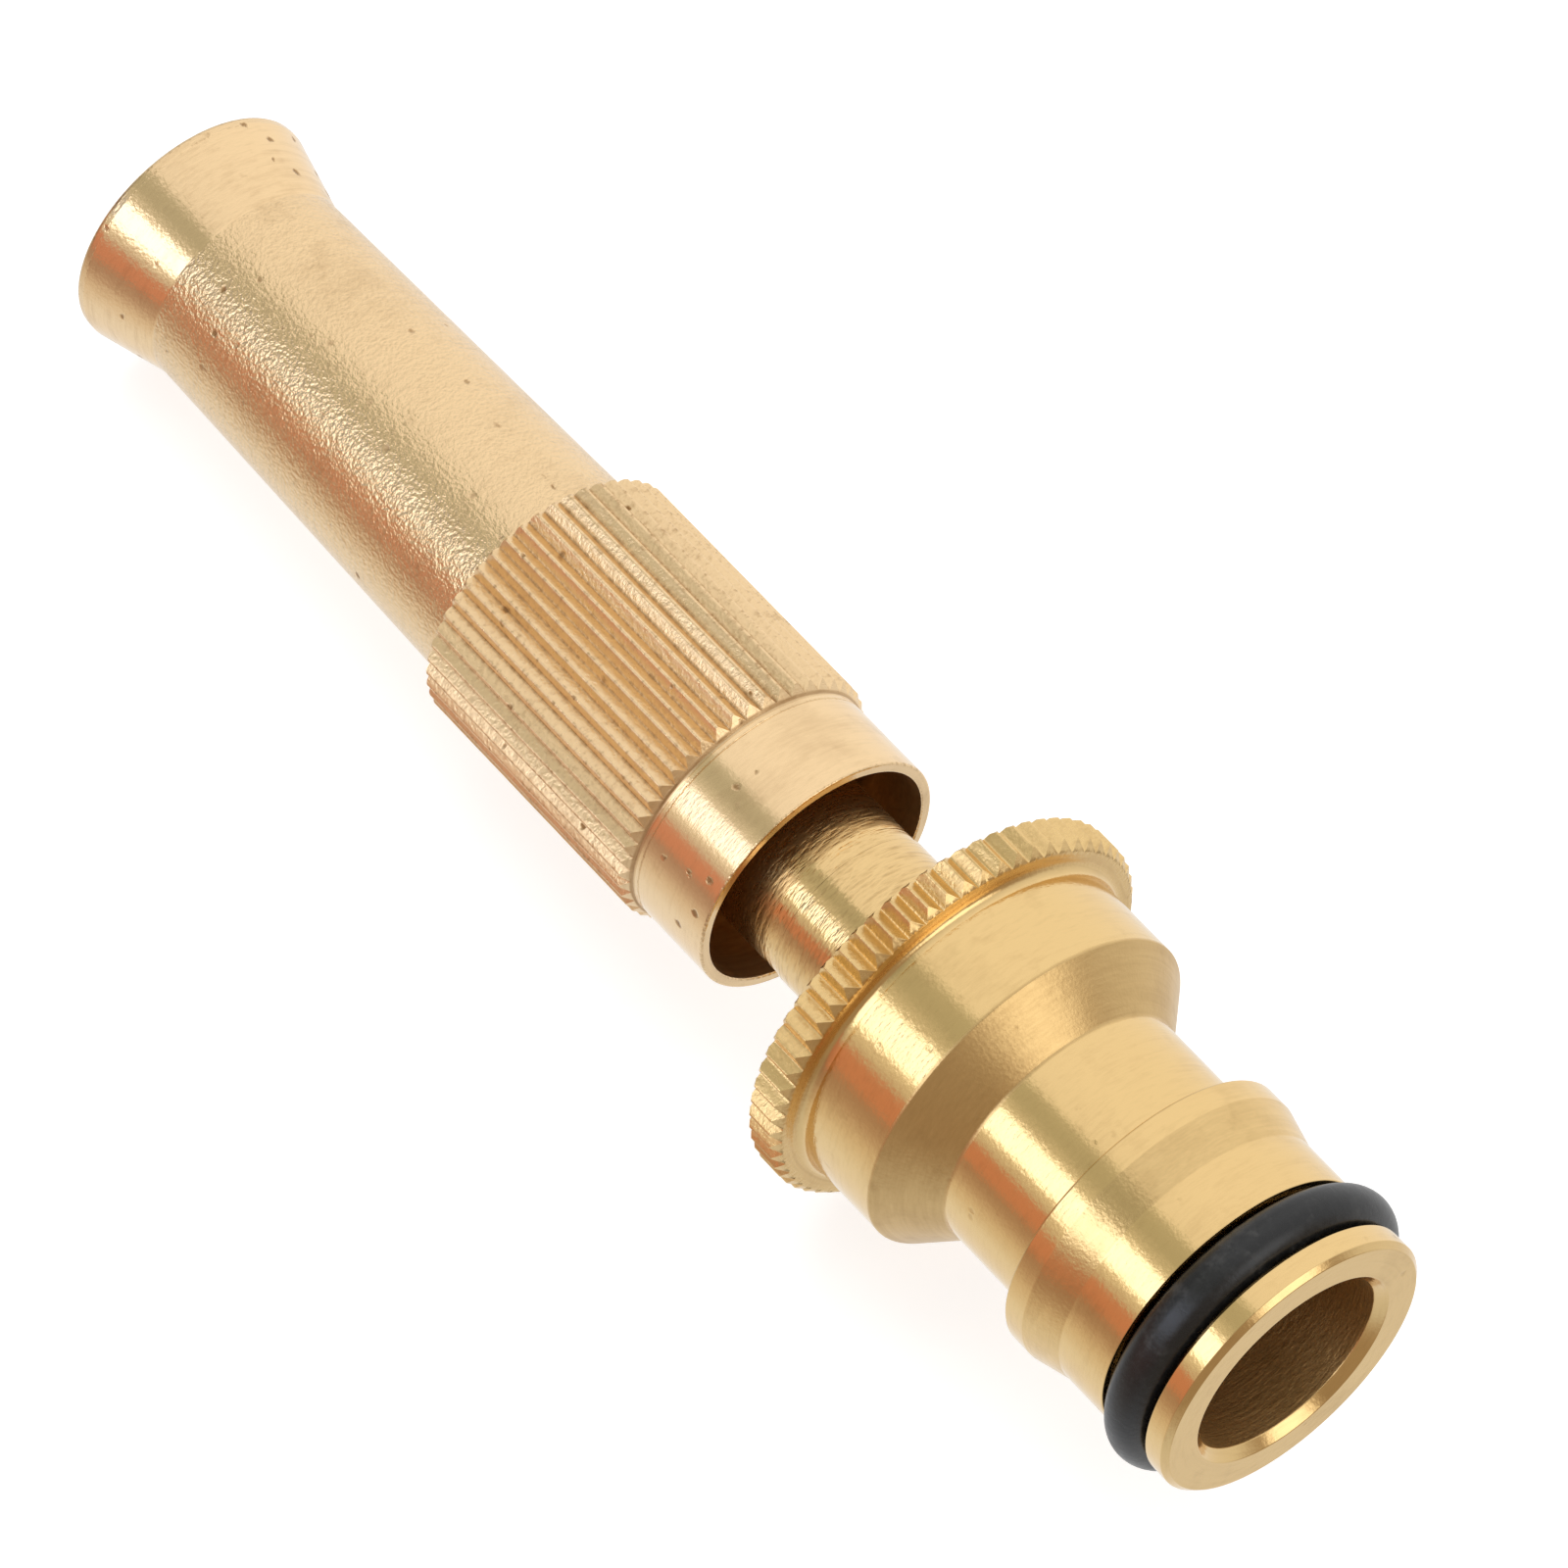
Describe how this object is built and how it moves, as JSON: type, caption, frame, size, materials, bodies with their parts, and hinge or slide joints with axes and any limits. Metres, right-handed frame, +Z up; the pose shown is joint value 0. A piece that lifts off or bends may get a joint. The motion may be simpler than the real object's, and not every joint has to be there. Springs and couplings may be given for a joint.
{
  "type": "hose spray nozzle",
  "caption": "Twist hose spray nozzle: knurled barrel screwed on a hollow stem, with a serrated flange and a quick-connect spigot with an O-ring.",
  "frame": {"origin": "centre of the inlet face of the quick-connect spigot, on the nozzle's axis", "axes": "+X along the nozzle's axis, out of the inlet; the outlet points towards -X; +Z up"},
  "size_m": [0.0875, 0.0228, 0.0228],
  "materials": {
    "adapter_brass": "turned and bright, brushed on the cone",
    "stem_brass": "fine turned rings",
    "barrel_brass": "satin with fine grain, knurled grip",
    "oring_rubber": "soft sheen",
    "seal_rubber": "matt",
    "washer_rubber": "matt"
  },
  "bodies": {
    "spigot": {"spigot_adapter": "adapter_brass", "stem": "stem_brass", "inlet_washer": "washer_rubber", "coupling_oring": "oring_rubber", "shutoff_oring": "seal_rubber"},
    "seal": {"sealing_oring": "seal_rubber"},
    "barrel": {"barrel": "barrel_brass"}
  },
  "joints": [
    {"name": "barrel_travel", "type": "slide", "parent": "spigot", "child": "seal", "axis": [-1, 0, 0], "range_m": [-0.003, 0.004]},
    {"name": "barrel_twist", "type": "hinge", "parent": "seal", "child": "barrel", "pos_m": [-0.0555, 0, 0], "axis": [-1, 0, 0], "range_deg": [-540.5, 720.5]}
  ],
  "couplings": [
    {"joint": "barrel_twist", "follows": "barrel_travel", "rad_per_m": 3141.6}
  ]
}
